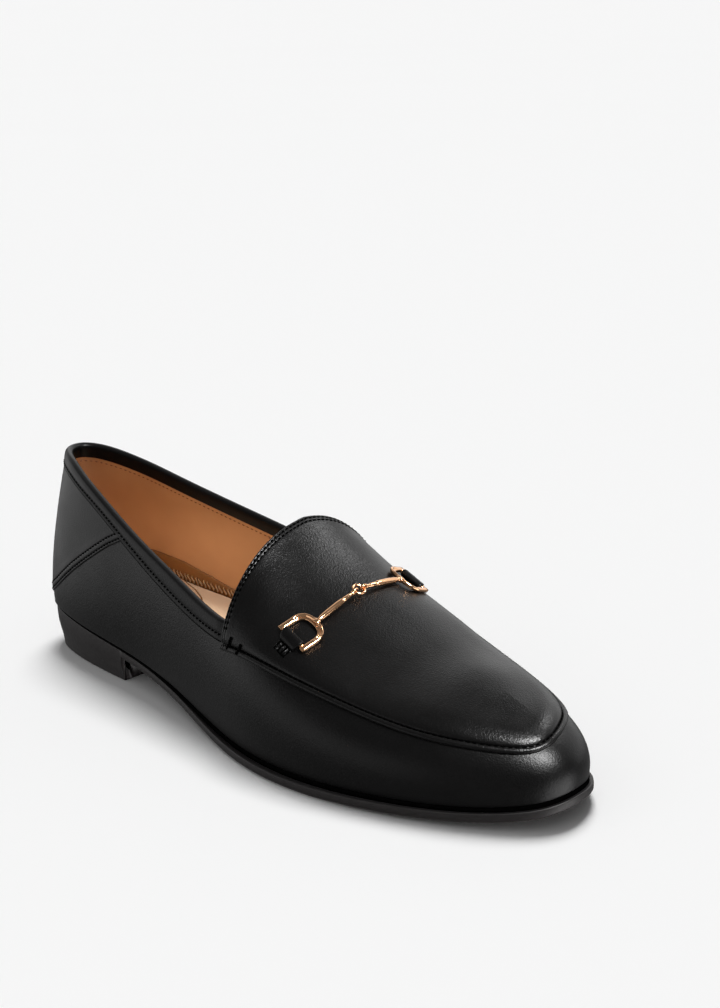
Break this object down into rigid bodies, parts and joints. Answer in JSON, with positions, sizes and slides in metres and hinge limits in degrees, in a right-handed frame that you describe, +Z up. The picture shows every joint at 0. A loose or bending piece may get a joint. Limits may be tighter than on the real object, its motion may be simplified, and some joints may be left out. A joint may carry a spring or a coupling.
{
  "type": "bit loafer",
  "caption": "Low slip-on loafer for the right foot: round apron toe, high tongue, bound collar, low heel and a metal bit across the instep.",
  "frame": {"origin": "middle of the bounding box's bottom face, on the floor the shoe stands on", "axes": "+X to the toe, +Y to the medial (inner) side of this right shoe, +Z up"},
  "size_m": [0.2678, 0.0913, 0.0817],
  "materials": {
    "upper_leather": "smooth black calf, satin",
    "apron_leather": "smooth black calf, satin",
    "binding_leather": "folded black leather edge, satin",
    "keeper_leather": "smooth black leather, satin",
    "sole_rubber": "moulded, matt",
    "insole_leather": "plain cream lining leather over a cushion",
    "bit_metal": "polished, rose gold tone"
  },
  "bodies": {
    "root": {"upper": "upper_leather", "collar_binding": "binding_leather", "apron": "apron_leather", "sole": "sole_rubber", "insole": "insole_leather", "keeper_lateral": "keeper_leather", "keeper_medial": "keeper_leather", "bit_lateral": "bit_metal", "bit_medial": "bit_metal", "bit_centre_ring": "bit_metal"}
  },
  "joints": []
}
